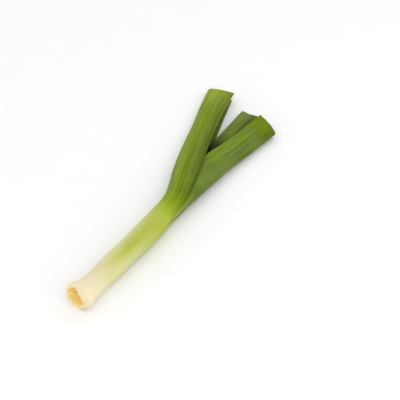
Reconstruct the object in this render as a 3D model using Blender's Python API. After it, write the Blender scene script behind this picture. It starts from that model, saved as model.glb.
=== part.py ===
"""A trimmed leek, lying on its side: a cut root plate, an outer leaf whose sheath is the shaft,
a second leaf and an inner leaf, each nested in the one before and each fanning out into a folded blade.

Lengths are millimetres until a vertex is made. Along the leek, x runs from the root cut to the leaf tips,
y runs to the left of the shaft and z runs up from the table. A profile is a list of stops, (x, value)."""

import math
from dataclasses import dataclass

import bmesh
import bpy
from mathutils import Vector

MM = 0.001

# The foot of the leek, seen from the middle of the whole leek's footprint.
ROOT_X = -170.1
SHAFT_Y = -33.75

# The shaft: its radius, and the sideways drift of its middle.
SHAFT_RADIUS = (
    *((-1.5, 13.2), (0, 14.0), (3, 14.2), (9, 12.7), (16, 11.7), (28, 11.1)),
    *((48, 11.9), (67, 11.8), (90, 12.4), (105, 12.6), (120, 12.3)),
)
SHAFT_DRIFT = ((-1.5, -1.8), (28, -1.8), (67, -1.9), (90, -2.3), (105, -2.0), (120, -0.8))
COLLAR_X = 120.0

# Sheath walls: thick behind the keel, thinner at the sides, thinnest in front. Sheaths keep a slip gap.
WALL_KEEL = 1.7
WALL_SIDE = 1.3
WALL_FRONT = 0.9
SLIP_GAP = 0.35
NEST_STEP = WALL_SIDE + SLIP_GAP
KEEL_STEP = WALL_KEEL + SLIP_GAP
FRONT_STEP = WALL_FRONT + SLIP_GAP

# Blade walls, reached some way past the collar. The front of a sheath thins over its upper part.
BLADE_KEEL = 1.5
BLADE_SIDE = 1.0
BLADE_EDGE = 0.75
BLADE_RUN = 60.0
FRONT_THINS_X = 60.0

# The knife's slant across the root end, as a gain in x for each millimetre to the left and up.
ROOT_SLANT_LEFT = -0.06
ROOT_SLANT_UP = 0.15
ROOT_SLANT_RUN = 45.0

# How far back from a leaf's tip its slanted cut still slants the rows.
CUT_RUN = 90.0

# How far the soft leek settles, so that it lies on a narrow flat.
SETTLE = 0.4

# The root plate: a disc in the foot of the outer sheath, with its trimmed root stubs as low bumps.
PLATE_RADIUS = 11.0
PLATE_BACK_RADIUS = 10.7
PLATE_FACE_X = -0.5
PLATE_BACK_X = 7.5
PLATE_DOME = 0.9
PLATE_RINGS = 9
PLATE_SIDES = 36
STUB_RINGS = 3
STUBS_AROUND = 12
STUB_HEIGHT = 0.45
STUB_SPIRAL = 9.0

# Where the rows of vertices are, and how many sides each half of a row has.
NESTED_FOOT_X = 8.0
FOOT_STATIONS = (-1.5, -0.9, 0, 1.4, 3, 5.5)
SHAFT_STATIONS = (8, 11, 15, 21, 28, 48, 67, 90, 105)
FAN_STATIONS = (120, 126, 133, 141, 149, 158, 168, 179, 190, 202, 214, 226, 238, 250, 264, 280, 296, 312)
COLLAR_CLEAR = 2.0
TIP_CLEAR = 6.0
HALF_SIDES = 14


@dataclass
class Leaf:
    """One leaf, from its foot to its cut tip, by profiles against x."""

    name: str
    side: int  # +1 where the keel is on the left, -1 on the right
    foot: float  # x where the sheath starts
    collar: float  # x where the closed sheath opens
    keel: tuple  # y of the keel
    reach: tuple  # from the keel across to the edges, or to the front of a closed sheath
    turn: tuple  # how far round from the keel each half goes, 180 when closed
    height: tuple
    base: tuple  # the lowest point's height over the table
    tip_keel: float  # x of the cut at the keel
    tip_edge: float  # x of the cut at the edges
    tip_dip: float = 0.0  # how far the cut hollows between keel and edges
    lean: tuple = ((0, 0.0),)  # sideways shift to the right for each millimetre up
    solid_sheath: bool = False


def slopes_of(stops):
    """Slopes that keep a curve through the stops free of overshoot."""
    steps = [(b[1] - a[1]) / (b[0] - a[0]) for a, b in zip(stops, stops[1:])]
    slopes = [steps[0]]
    for before, after in zip(steps, steps[1:]):
        level = before * after <= 0
        slopes.append(0.0 if level else 2 * before * after / (before + after))
    return slopes + [steps[-1]]


def along(stops, x):
    """The smooth curve through the stops, read at x and level beyond both ends."""
    if x <= stops[0][0]:
        return stops[0][1]
    if x >= stops[-1][0]:
        return stops[-1][1]
    slopes = slopes_of(stops)
    i = next(k for k in range(len(stops) - 1) if x <= stops[k + 1][0])
    (x0, v0), (x1, v1) = stops[i], stops[i + 1]
    span = x1 - x0
    t = (x - x0) / span
    return (
        (1 + 2 * t) * (1 - t) ** 2 * v0
        + t * (1 - t) ** 2 * span * slopes[i]
        + t * t * (3 - 2 * t) * v1
        + t * t * (t - 1) * span * slopes[i + 1]
    )


def ease(t):
    t = min(1.0, max(0.0, t))
    return t * t * (3 - 2 * t)


def nested(value):
    """Profile stops along the shaft, from a rule on its radius and drift."""
    xs = (*FOOT_STATIONS, *SHAFT_STATIONS, COLLAR_X)
    return tuple((x, value(along(SHAFT_RADIUS, x), along(SHAFT_DRIFT, x))) for x in xs)


def outer_leaf():
    return Leaf(
        name="outer_leaf",
        side=1,
        foot=FOOT_STATIONS[0],
        collar=COLLAR_X,
        keel=(
            *nested(lambda radius, drift: drift + radius),
            *((137, 12.3), (153, 15.6), (168, 22.0), (190, 33.0), (213, 42.8)),
            *((245, 55.0), (278, 66.8), (310, 78.5), (344, 89.9)),
        ),
        reach=(
            *nested(lambda radius, drift: 2 * radius),
            *((133, 24.2), (149, 25.8), (168, 29.4), (190, 32.9), (213, 33.4)),
            *((231, 33.1), (250, 31.8), (278, 31.3), (344, 33.0)),
        ),
        turn=((120, 180), (133, 170), (149, 155), (168, 138), (195, 127), (228, 118), (270, 106), (344, 97)),
        height=(
            *nested(lambda radius, drift: 2 * radius),
            *((133, 24.6), (149, 24.2), (168, 23.2), (195, 20.8), (228, 18.0), (270, 14.5), (344, 12.5)),
        ),
        base=((120, 0.0),),
        lean=((200, 0.0), (250, -0.12), (290, -0.12), (344, 0.24)),
        tip_keel=339.0,
        tip_edge=344.0,
    )


def second_leaf():
    return Leaf(
        name="second_leaf",
        side=-1,
        foot=NESTED_FOOT_X,
        collar=168.0,
        keel=(
            *nested(lambda radius, drift: drift - radius + FRONT_STEP),
            *((133, -11.1), (149, -11.9), (168, -13.2), (194, -13.6)),
            *((222, -14.2), (252, -16.0), (285, -18.8), (324, -22.4)),
        ),
        reach=(
            *nested(lambda radius, drift: 2 * radius - KEEL_STEP - FRONT_STEP),
            *((133, 20.7), (149, 22.7), (168, 25.6), (190, 28.1), (210, 30.2)),
            *((233, 31.9), (260, 31.0), (285, 30.4), (324, 30.8)),
        ),
        turn=((168, 180), (180, 172), (195, 158), (212, 138), (233, 118), (260, 106), (324, 97)),
        height=(
            *nested(lambda radius, drift: 2 * (radius - NEST_STEP)),
            *((133, 20.5), (149, 18.2), (168, 15.9), (195, 14.4)),
            *((228, 13.0), (255, 13.6), (285, 14.3), (324, 14.8)),
        ),
        base=(
            *((120, NEST_STEP), (133, 2.1), (149, 3.0), (168, 3.65)),
            *((195, 3.2), (228, 2.5), (250, 0.9), (270, 0.0)),
        ),
        tip_keel=312.0,
        tip_edge=324.0,
    )


def inner_leaf():
    return Leaf(
        name="inner_leaf",
        side=1,
        foot=NESTED_FOOT_X,
        collar=180.0,
        keel=(
            *nested(lambda radius, drift: drift + radius - FRONT_STEP - KEEL_STEP),
            *((133, 8.2), (149, 9.2), (168, 10.8), (190, 13.2), (210, 16.6)),
            *((233, 22.0), (255, 26.9), (282, 28.9), (325, 32.2)),
        ),
        reach=(
            *nested(lambda radius, drift: 2 * (radius - FRONT_STEP - KEEL_STEP)),
            *((133, 17.2), (149, 17.8), (168, 18.8), (190, 20.0), (210, 21.2)),
            *((233, 22.0), (260, 23.5), (325, 24.5)),
        ),
        turn=((180, 180), (200, 164), (233, 138), (270, 112), (325, 100)),
        height=(
            *nested(lambda radius, drift: 2 * (radius - 2 * NEST_STEP)),
            *((133, 16.8), (149, 14.8), (168, 12.5), (195, 11.4)),
            *((228, 10.1), (255, 10.2), (285, 10.0), (325, 9.2)),
        ),
        base=(
            *((120, 2 * NEST_STEP), (133, 3.95), (149, 4.7), (168, 5.35)),
            *((195, 4.7), (228, 3.9), (255, 2.6), (285, 2.2), (325, 2.4)),
        ),
        tip_keel=324.5,
        tip_edge=326.5,
        tip_dip=3.0,
        solid_sheath=True,
    )


def walls(leaf, x):
    """Wall thickness behind the keel, at the sides and at the front or edges."""
    opened = ease((x - COLLAR_X) / BLADE_RUN)
    thinned = ease((x - FRONT_THINS_X) / (leaf.collar - FRONT_THINS_X))
    return (
        WALL_KEEL + (BLADE_KEEL - WALL_KEEL) * opened,
        WALL_SIDE + (BLADE_SIDE - WALL_SIDE) * opened,
        WALL_FRONT + (BLADE_EDGE - WALL_FRONT) * thinned,
    )


def leaf_point(leaf, x, share, inside):
    """A point of a leaf's skin: share runs from -1 at the lower edge, through the keel, to 1 at the upper."""
    turn = math.radians(along(leaf.turn, x))
    half_width = along(leaf.reach, x) / (1 - math.cos(turn))
    half_height = along(leaf.height, x) / 2
    middle_y = along(leaf.keel, x) - leaf.side * half_width
    middle_z = along(leaf.base, x) + half_height
    angle = turn * share
    if inside:
        keel_wall, side_wall, edge_wall = walls(leaf, x)
        middle_y -= leaf.side * (keel_wall - edge_wall) / 2
        half_width -= (keel_wall + edge_wall) / 2
        half_height -= side_wall + (edge_wall - side_wall) * ease(2 * abs(share) - 1)
    y = middle_y + leaf.side * half_width * math.cos(angle)
    z = middle_z + half_height * math.sin(angle)
    y -= along(leaf.lean, x) * (z - middle_z)
    across = (1 - math.cos(angle)) / (1 - math.cos(turn))
    hollow = leaf.tip_dip * math.sin(math.pi * across) ** 2
    cut = leaf.tip_keel + (leaf.tip_edge - leaf.tip_keel) * across - hollow
    tip = max(leaf.tip_keel, leaf.tip_edge)
    return placed(x + (cut - tip) * ease((x - tip) / CUT_RUN + 1), y, z)


def placed(x, y, z):
    """A point of the leek after the root cut's slant and the settling, in metres about the leek's middle."""
    slant = max(0.0, 1 - x / ROOT_SLANT_RUN) ** 2
    left_of_middle = y - along(SHAFT_DRIFT, x)
    over_middle = z - along(SHAFT_RADIUS, x)
    x += slant * (ROOT_SLANT_LEFT * left_of_middle + ROOT_SLANT_UP * over_middle)
    return Vector((ROOT_X + x, SHAFT_Y + y, max(0.0, z - SETTLE))) * MM


def leaf_stations(leaf):
    tip = max(leaf.tip_keel, leaf.tip_edge)
    shared = [x for x in FOOT_STATIONS + SHAFT_STATIONS + FAN_STATIONS if leaf.foot < x < tip - TIP_CLEAR]
    stations = sorted({leaf.foot, leaf.collar, tip, *shared})
    return [x for x in stations if x == leaf.collar or abs(x - leaf.collar) > COLLAR_CLEAR]


def skin_rows(bm, leaf, stations, inside):
    """Rows of vertices, one for each station, whose ends are one vertex while the sheath is closed."""
    rows = []
    for x in stations:
        row = []
        for k in range(-HALF_SIDES, HALF_SIDES + 1):
            closed = x <= leaf.collar and k == HALF_SIDES
            row.append(row[0] if closed else bm.verts.new(leaf_point(leaf, x, k / HALF_SIDES, inside)))
        rows.append(row)
    return rows


def bridge(bm, first, second):
    """Triangles between two rows, split alike on every skin so that a thin wall keeps its thickness."""
    for k in range(len(first) - 1):
        bm.faces.new((first[k], first[k + 1], second[k + 1]))
        bm.faces.new((first[k], second[k + 1], second[k]))


def make_object(name, bm, material):
    bmesh.ops.recalc_face_normals(bm, faces=bm.faces)
    mesh = bpy.data.meshes.new(name)
    bm.to_mesh(mesh)
    bm.free()
    mesh.shade_smooth()
    mesh.set_sharp_from_angle(angle=math.radians(40))
    mesh.materials.append(material)
    obj = bpy.data.objects.new(name, mesh)
    bpy.context.scene.collection.objects.link(obj)
    return obj


def make_leaf(leaf, material):
    bm = bmesh.new()
    stations = leaf_stations(leaf)
    opening = stations.index(leaf.collar)
    first_hollow = opening if leaf.solid_sheath else 0
    outside = skin_rows(bm, leaf, stations, False)
    inside = skin_rows(bm, leaf, stations[first_hollow:], True)
    for rows in (outside, inside):
        for first, second in zip(rows, rows[1:]):
            bridge(bm, first, second)
    if leaf.solid_sheath:
        bm.faces.new(outside[0][:-1])
        bm.faces.new(inside[0][:-1])
    else:
        bridge(bm, outside[0], inside[0])
    bridge(bm, outside[-1], inside[-1])
    for end in (0, -1):
        outer_edge = [row[end] for row in outside[opening:]]
        inner_edge = [row[end] for row in inside[opening - first_hollow :]]
        bridge(bm, outer_edge, inner_edge)
    return make_object(leaf.name, bm, material)


def plate_relief(radius, angle):
    """How far the cut face of the root plate stands out: a low dome with rings of trimmed root stubs."""
    share = radius / PLATE_RADIUS
    ring = math.sin(math.pi * STUB_RINGS * share) ** 2
    stub = 0.5 + 0.5 * math.cos(STUBS_AROUND * angle + STUB_SPIRAL * share)
    return PLATE_DOME * (1 - share * share) + STUB_HEIGHT * ring * stub


def plate_ring(bm, x, radius, relief):
    """One ring of the root plate, about the shaft's middle."""
    middle_y, middle_z = along(SHAFT_DRIFT, x), along(SHAFT_RADIUS, x)
    ring = []
    for k in range(PLATE_SIDES):
        angle = 2 * math.pi * k / PLATE_SIDES
        y, z = middle_y + radius * math.cos(angle), middle_z + radius * math.sin(angle)
        ring.append(bm.verts.new(placed(x - relief(radius, angle), y, z)))
    return ring


def make_root_plate(material):
    bm = bmesh.new()
    radii = [PLATE_RADIUS * r / PLATE_RINGS for r in range(1, PLATE_RINGS + 1)]
    rings = [plate_ring(bm, PLATE_FACE_X, radius, plate_relief) for radius in radii]
    rings.append(plate_ring(bm, PLATE_BACK_X, PLATE_BACK_RADIUS, lambda radius, angle: 0.0))
    for first, second in zip(rings, rings[1:]):
        bridge(bm, first + first[:1], second + second[:1])
    for cap in (rings[0], rings[-1]):
        bm.faces.new(cap)
    return make_object("root_plate", bm, material)


def make_material(name, colour, roughness):
    material = bpy.data.materials.new(name)
    material.use_nodes = True
    shader = material.node_tree.nodes["Principled BSDF"]
    shader.inputs["Base Color"].default_value = (*colour, 1.0)
    shader.inputs["Roughness"].default_value = roughness
    shader.inputs["Metallic"].default_value = 0.0
    return material


def main():
    for obj in list(bpy.data.objects):
        bpy.data.objects.remove(obj)
    make_root_plate(make_material("cut_root", (0.80, 0.50, 0.13), 0.75))
    make_leaf(outer_leaf(), make_material("outer_green", (0.45, 0.52, 0.12), 0.42))
    make_leaf(second_leaf(), make_material("mid_green", (0.20, 0.28, 0.05), 0.45))
    make_leaf(inner_leaf(), make_material("blue_green", (0.19, 0.26, 0.10), 0.5))


main()
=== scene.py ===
"""A trimmed leek lying on its side: a cut root plate with its root stubs, and three leaves, each nested in
the one before, whose sheaths make the pale shaft and whose folded blades fan out to their cut tips.

Lengths are millimetres in the leaves' profiles and metres everywhere else. Along the leek, x runs from the
root cut to the leaf tips, y runs to the left of the shaft and z runs up from the table."""

import math
import random
from dataclasses import dataclass

import bpy
from bpy.props import FloatProperty, FloatVectorProperty, IntProperty, PointerProperty
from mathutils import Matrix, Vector, noise


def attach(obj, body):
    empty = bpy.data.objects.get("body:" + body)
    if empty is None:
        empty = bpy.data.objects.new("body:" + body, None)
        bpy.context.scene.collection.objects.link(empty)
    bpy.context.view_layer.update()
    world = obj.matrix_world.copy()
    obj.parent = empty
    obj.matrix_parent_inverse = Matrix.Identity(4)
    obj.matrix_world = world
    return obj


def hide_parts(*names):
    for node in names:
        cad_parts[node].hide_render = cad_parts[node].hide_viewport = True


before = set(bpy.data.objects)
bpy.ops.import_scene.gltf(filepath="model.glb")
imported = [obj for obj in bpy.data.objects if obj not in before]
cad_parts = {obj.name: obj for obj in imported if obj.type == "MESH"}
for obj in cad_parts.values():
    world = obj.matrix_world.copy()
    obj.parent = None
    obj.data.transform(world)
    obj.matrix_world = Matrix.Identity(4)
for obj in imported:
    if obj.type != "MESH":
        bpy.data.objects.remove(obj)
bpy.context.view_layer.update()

bl_info = {
    "name": "Leek",
    "version": (1, 0, 0),
    "blender": (4, 5, 0),
    "location": "3D View > Sidebar > Leek",
    "description": "Models a trimmed leek leaf by leaf, on a pale studio floor",
    "category": "Object",
}

MM = 0.001
BODY = "root"
WHITE = (1.0, 1.0, 1.0)

# The foot of the leek, seen from the middle of the whole leek's footprint.
ROOT_X = -170.1
SHAFT_Y = -33.75

# The shaft: its radius, and the sideways drift of its middle.
SHAFT_RADIUS = (
    *((-1.5, 13.2), (0, 14.0), (3, 14.2), (9, 12.7), (16, 11.7), (28, 11.1)),
    *((48, 11.9), (67, 11.8), (90, 12.4), (105, 12.6), (120, 12.3)),
)
SHAFT_DRIFT = ((-1.5, -1.8), (28, -1.8), (67, -1.9), (90, -2.3), (105, -2.0), (120, -0.8))
SHAFT_STOPS = (-1.5, -0.9, 0, 1.4, 3, 5.5, 8, 11, 15, 21, 28, 48, 67, 90, 105, 120)
COLLAR_X = 120.0

# Sheath walls behind the keel, at the sides and in front, and the slip gap between two sheaths.
WALL_KEEL = 1.7
WALL_SIDE = 1.3
WALL_FRONT = 0.9
SLIP_GAP = 0.35
NEST_STEP = WALL_SIDE + SLIP_GAP
KEEL_STEP = WALL_KEEL + SLIP_GAP
FRONT_STEP = WALL_FRONT + SLIP_GAP

# Blade walls, reached some way past the collar. The front of a sheath thins over its upper part.
BLADE_KEEL = 1.5
BLADE_SIDE = 1.0
BLADE_EDGE = 0.75
BLADE_RUN = 60.0
FRONT_THINS_X = 60.0

# The knife's slant across the root end, and how far the leek settles on the table.
ROOT_SLANT_LEFT = -0.06
ROOT_SLANT_UP = 0.15
ROOT_SLANT_RUN = 45.0
SETTLE = 0.4

# How far back from a leaf's tip the slant of its cut and the cut's unevenness reach.
CUT_RUN = 90.0
WAVER_RUN = 60.0

# Ribs set in where a leaf shows, are shallow on its sheath and deepen round the collar. They end at the
# share where a closed sheath's two edges meet.
RIBS_SET_IN_RUN = 25.0
RIBS_BEFORE_COLLAR = 30.0
RIBS_DEEPEN_RUN = 70.0
SHEATH_RIBS = 0.12
RIBS_END_SHARE = 0.96

# How unevenly a leaf's ribs are spaced: waves round the leaf, how far each shifts the ribs, and its start.
RIB_DRIFT = ((5, 0.006, 1.0), (11, 0.004, 2.0))

# The crease: its width as a share, the runs over which it fades, where its last fade starts, its painted
# shade.
CREASE_WIDTH = 0.024
CREASE_FADE_IN = 20.0
CREASE_FADE_OUT = 24.0
CREASE_END = 294.0
CREASE_PAINTED_SHADE = (0.03, 0.06, 0.005)

# Meshes: how near two points merge, how short an edge is dropped, and which edges are rounded or smooth.
MERGE_DISTANCE = 0.00001
SHORTEST_EDGE = 0.000001
ROUNDED_ANGLE = math.radians(50)
LEAF_SMOOTH_ANGLE = math.radians(42)
PLATE_SMOOTH_ANGLE = math.radians(50)
STUB_SMOOTH_ANGLE = math.radians(55)

# The root plate: its face and back, the turn of its grain, and the middle of its face in metres. FACE_PART
# is how much of the ball that it is modelled from becomes the face.
FACE_RADIUS = 12.5
PLATE_BACK_RADIUS = 10.7
PLATE_FACE_X = -0.5
PLATE_BACK_X = 7.5
FACE_PART = 0.72
GRAIN_TURN = math.radians(52.0)
PLATE_MIDDLE = ((ROOT_X + PLATE_FACE_X) * MM, (SHAFT_Y + SHAFT_DRIFT[0][1]) * MM, 13.5 * MM)

# Root stubs: the radius that they fill, and how far up across the grain they reach.
STUB_FIELD_RADIUS = 9.8
STUB_FIELD_TOP = 5.5

# The studio.
FLOOR_SIZE = 8.0
FLOOR_Z = -0.0001
KEY_PLACE = Vector((-0.25, -1.1, 1.0))
KEY_SIZE = 1.6
CAMERA_TARGET = Vector((0.0092, -0.04445, 0.0))
LENS = 70.0
SENSOR_WIDTH = 36.0


@dataclass
class Leaf:
    """One leaf, from its foot to its cut tip, by profiles against x."""

    name: str
    side: int  # +1 where the keel is on the left, -1 on the right
    foot: float  # x where the sheath starts
    collar: float  # x where the closed sheath opens
    keel: tuple  # y of the keel
    reach: tuple  # from the keel across to the edges, or to the front of a closed sheath
    turn: tuple  # how far round from the keel each half goes, 180 when closed
    height: tuple
    base: tuple  # the lowest point's height over the table
    tip_keel: float  # x of the cut at the keel
    tip_edge: float  # x of the cut at the edges
    bare: float  # x from which the leaf shows, where its ribs start
    rows: int
    columns: int
    tip_dip: float = 0.0  # how far the cut hollows between keel and edges
    lean: tuple = ((0, 0.0),)  # sideways shift to the right for each millimetre up
    crease: tuple = ()  # the x and share round of a lengthwise crease
    solid_sheath: bool = False

    @property
    def tip(self):
        return max(self.tip_keel, self.tip_edge)

    def place(self, x):
        """A place along the leaf, 0 at its foot and 1 at its tip."""
        return (x - self.foot) / (self.tip - self.foot)

    def ramp_stops(self, stops):
        """Stops against x, as a ramp's stops along the leaf. A name stands for its colour."""
        return [(self.place(x), tone(value) if isinstance(value, str) else value) for x, value in stops]


def along(stops, x):
    """The smooth curve through the stops, without overshoot, read at x and level beyond both ends."""
    if x <= stops[0][0]:
        return stops[0][1]
    if x >= stops[-1][0]:
        return stops[-1][1]
    i = next(k for k in range(len(stops) - 1) if x <= stops[k + 1][0])
    (x0, v0), (x1, v1) = stops[i], stops[i + 1]
    span = x1 - x0
    step = (v1 - v0) / span
    before = (v0 - stops[i - 1][1]) / (x0 - stops[i - 1][0]) if i else step
    after = (stops[i + 2][1] - v1) / (stops[i + 2][0] - x1) if i + 2 < len(stops) else step
    start = 2 * before * step / (before + step) if before * step > 0 else 0.0
    end = 2 * step * after / (step + after) if step * after > 0 else 0.0
    t = (x - x0) / span
    return (
        (1 + 2 * t) * (1 - t) ** 2 * v0
        + t * (1 - t) ** 2 * span * start
        + t * t * (3 - 2 * t) * v1
        + t * t * (t - 1) * span * end
    )


def ease(t):
    t = min(1.0, max(0.0, t))
    return t * t * (3 - 2 * t)


def between(first, second, share):
    return first + (second - first) * share


def rib_turns(round_leaf):
    """A place round a leaf, 0 to 1 from edge to edge, shifted as the ribs are."""
    angle = 2 * math.pi * round_leaf
    return round_leaf + sum(size * math.sin(waves * angle + start) for waves, size, start in RIB_DRIFT)


def nested(value):
    """Profile stops along the shaft, from a rule on its radius and drift."""
    return tuple((x, value(along(SHAFT_RADIUS, x), along(SHAFT_DRIFT, x))) for x in SHAFT_STOPS)


OUTER_LEAF = Leaf(
    name="outer_leaf",
    side=1,
    foot=-1.5,
    collar=COLLAR_X,
    keel=(
        *nested(lambda radius, drift: drift + radius),
        *((137, 12.3), (153, 15.6), (168, 22.0), (190, 33.0), (213, 42.8)),
        *((245, 55.0), (278, 66.8), (310, 78.5), (344, 89.9)),
    ),
    reach=(
        *nested(lambda radius, drift: 2 * radius),
        *((133, 24.2), (149, 25.8), (168, 29.4), (190, 32.9), (213, 33.4)),
        *((231, 33.1), (250, 31.8), (278, 31.3), (344, 33.0)),
    ),
    turn=((120, 180), (133, 170), (149, 155), (168, 138), (195, 127), (228, 118), (270, 106), (344, 97)),
    height=(
        *nested(lambda radius, drift: 2 * radius),
        *((133, 24.6), (149, 24.2), (168, 23.2), (195, 20.8), (228, 18.0), (270, 14.5), (344, 12.5)),
    ),
    base=((120, 0.0),),
    lean=((200, 0.0), (250, -0.12), (290, -0.12), (344, 0.24)),
    tip_keel=339.0,
    tip_edge=344.0,
    bare=-1.5,
    rows=290,
    columns=132,
)

SECOND_LEAF = Leaf(
    name="second_leaf",
    side=-1,
    foot=8.0,
    collar=168.0,
    keel=(
        *nested(lambda radius, drift: drift - radius + FRONT_STEP),
        *((133, -11.1), (149, -11.9), (168, -13.2), (194, -13.6)),
        *((222, -14.2), (252, -16.0), (285, -18.8), (324, -22.4)),
    ),
    reach=(
        *nested(lambda radius, drift: 2 * radius - KEEL_STEP - FRONT_STEP),
        *((133, 20.7), (149, 22.7), (168, 25.6), (190, 28.1), (210, 30.2)),
        *((233, 31.2), (260, 29.0), (285, 28.0), (324, 28.4)),
    ),
    turn=((168, 180), (180, 172), (195, 158), (212, 138), (233, 118), (260, 106), (324, 97)),
    height=(
        *nested(lambda radius, drift: 2 * (radius - NEST_STEP)),
        *((133, 20.5), (149, 18.2), (168, 15.9), (195, 14.4)),
        *((228, 13.0), (255, 13.6), (285, 14.3), (324, 14.8)),
    ),
    base=(
        *((120, NEST_STEP), (133, 2.1), (149, 3.0), (168, 3.65)),
        *((195, 3.2), (228, 2.5), (250, 0.9), (270, 0.0)),
    ),
    tip_keel=312.0,
    tip_edge=324.0,
    bare=150.0,
    rows=240,
    columns=120,
    crease=((228, 0.6), (250, 0.63), (324, 0.68)),
)

INNER_LEAF = Leaf(
    name="inner_leaf",
    side=1,
    foot=8.0,
    collar=180.0,
    keel=(
        *nested(lambda radius, drift: drift + radius - FRONT_STEP - KEEL_STEP),
        *((133, 8.2), (149, 9.2), (168, 10.8), (190, 13.2), (210, 16.6)),
        *((233, 22.0), (255, 26.9), (282, 28.9), (325, 32.2)),
    ),
    reach=(
        *nested(lambda radius, drift: 2 * (radius - FRONT_STEP - KEEL_STEP)),
        *((133, 17.2), (149, 17.8), (168, 18.8), (190, 20.0), (210, 21.2)),
        *((233, 22.0), (260, 23.5), (325, 24.5)),
    ),
    turn=((180, 180), (200, 164), (233, 138), (270, 112), (325, 100)),
    height=(
        *nested(lambda radius, drift: 2 * (radius - 2 * NEST_STEP)),
        *((133, 16.8), (149, 14.8), (168, 12.5), (195, 11.4)),
        *((228, 10.1), (255, 10.2), (285, 10.0), (325, 9.2)),
    ),
    base=(
        *((120, 2 * NEST_STEP), (133, 3.95), (149, 4.7), (168, 5.35)),
        *((195, 4.7), (228, 3.9), (255, 2.6), (285, 2.2), (325, 2.4)),
    ),
    tip_keel=324.5,
    tip_edge=323.0,
    bare=185.0,
    rows=240,
    columns=96,
    tip_dip=2.0,
    solid_sheath=True,
)


def linear(red, green, blue):
    """A screen colour, 0 to 255, as the linear colour that shaders use."""
    parts = [value / 255 for value in (red, green, blue)]
    return tuple(part / 12.92 if part <= 0.04045 else ((part + 0.055) / 1.055) ** 2.4 for part in parts)


def colour_property(name, description, screen_colour):
    shade = linear(*screen_colour)
    return FloatVectorProperty(
        name=name, description=description, default=shade, subtype="COLOR", min=0.0, max=1.0
    )


def number_property(name, description, default, most, least=0.0, **kind):
    return FloatProperty(name=name, description=description, default=default, min=least, max=most, **kind)


def length_property(name, description, default, most, least=0.0):
    return number_property(name, description, default, most, least, precision=5, unit="LENGTH")


def count_property(name, description, default, most, least):
    return IntProperty(name=name, description=description, default=default, min=least, max=most)


def angle_property(name, description, degrees):
    return FloatProperty(name=name, description=description, default=math.radians(degrees), subtype="ANGLE")


class LeekSizes(bpy.types.PropertyGroup):
    """Sizes of the fine forms on the leek."""

    rib_depth: length_property(
        "Rib depth", "How deep the furrows between a blade's lengthwise ribs are", 0.00016, 0.0004
    )
    ribs: count_property("Ribs", "How many ribs run along a leaf, counted across it", 28, 60, 8)
    crease_depth: length_property(
        "Crease depth", "How deep the lengthwise crease in the second leaf is", 0.0004, 0.001
    )
    edge_round: length_property(
        "Edge rounding", "Radius of the rounding on the leaves' margins and cut tips", 0.00018, 0.0003
    )
    cut_waver: length_property("Cut waver", "How far the cut across a leaf tip wavers", 0.0005, 0.002)
    plate_dome: length_property(
        "Root plate dome", "How far the middle of the cut root plate stands out", 0.0009, 0.003
    )
    stubs: count_property(
        "Root stubs", "How many trimmed root stubs the whole root plate would have", 84, 160, 12
    )
    stub_radius: length_property(
        "Root stub radius", "Radius of an average trimmed root stub", 0.00062, 0.001, 0.0003
    )


class LeekColours(bpy.types.PropertyGroup):
    """Colours of the leek, from the root end to the leaf tips."""

    cream: colour_property("Cream", "The foot of the shaft", (238, 223, 190))
    ivory: colour_property("Ivory", "The white part of the shaft", (219, 211, 168))
    pale_lime: colour_property("Pale lime", "Where the white of the shaft turns green", (196, 194, 114))
    lime: colour_property("Lime", "The upper shaft", (170, 180, 72))
    knee_green: colour_property("Knee green", "Just below the knee", (156, 174, 44))
    fresh_green: colour_property("Fresh green", "The knee, where the sheath opens", (136, 160, 20))
    leaf_green: colour_property("Leaf green", "The outer leaf's blade", (122, 147, 4))
    mid_green: colour_property("Mid green", "The second leaf's blade", (106, 127, 20))
    blue_green: colour_property("Blue green", "The waxy inner leaf", (104, 122, 36))
    # Painted shade: a near-black green laid on the inner leaf where it sits deep in the fold between the
    # outer leaves.
    painted_shade_green: colour_property("Shade green", "The inner leaf where it is deep in the fold", (20, 32, 0))
    tip_green: colour_property("Tip green", "The last stretch of the second leaf", (104, 129, 8))
    tip_lime: colour_property("Tip lime", "The last stretch of a leaf before its cut", (147, 164, 36))
    bloom: colour_property("Bloom", "Small pale scars on the leaves", (186, 198, 152))
    wax: colour_property("Wax", "The thin blue wax on the blades", (138, 158, 106))
    milk: colour_property("Milk", "The paler sides of the shaft", (230, 226, 190))
    clear_green: colour_property("Clear green", "Spots on the blades that carry no wax", (114, 144, 0))
    fold_green: colour_property("Fold green", "The inner face of a folded leaf", (96, 124, 18))
    cut_green: colour_property("Cut green", "The cut edge of a leaf", (122, 142, 36))
    rim_cream: colour_property("Rim cream", "The cut rim round the root plate", (246, 231, 190))
    root_gold: colour_property("Root gold", "The cut root plate", (232, 186, 84))
    root_straw: colour_property("Root straw", "The paler fibres of the root plate", (246, 220, 150))
    root_brown: colour_property("Root brown", "The pits and dried ends of the roots", (196, 138, 58))


class StudioSettings(bpy.types.PropertyGroup):
    """The floor, the lights and the camera."""

    floor: colour_property("Floor", "The studio floor", (247, 247, 247))
    sky_strength: number_property("Soft light", "Strength of the even light from all round", 0.98, 3.0)
    key_power: number_property(
        "Key light", "Power of the large soft light on the right", 5.0, 200.0, unit="POWER"
    )
    camera_azimuth: angle_property(
        "Camera direction", "Which way the camera stands round the leek", -54.66
    )
    camera_elevation: angle_property(
        "Camera height angle", "How far the camera looks down on the leek", 44.0
    )
    camera_distance: length_property(
        "Camera distance", "From the camera to the spot that it looks at", 0.82, 3.0, 0.2
    )


def tone(name):
    """A colour of the leek, by the name of its property."""
    return tuple(getattr(bpy.context.scene.leek_colours, name))


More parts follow.
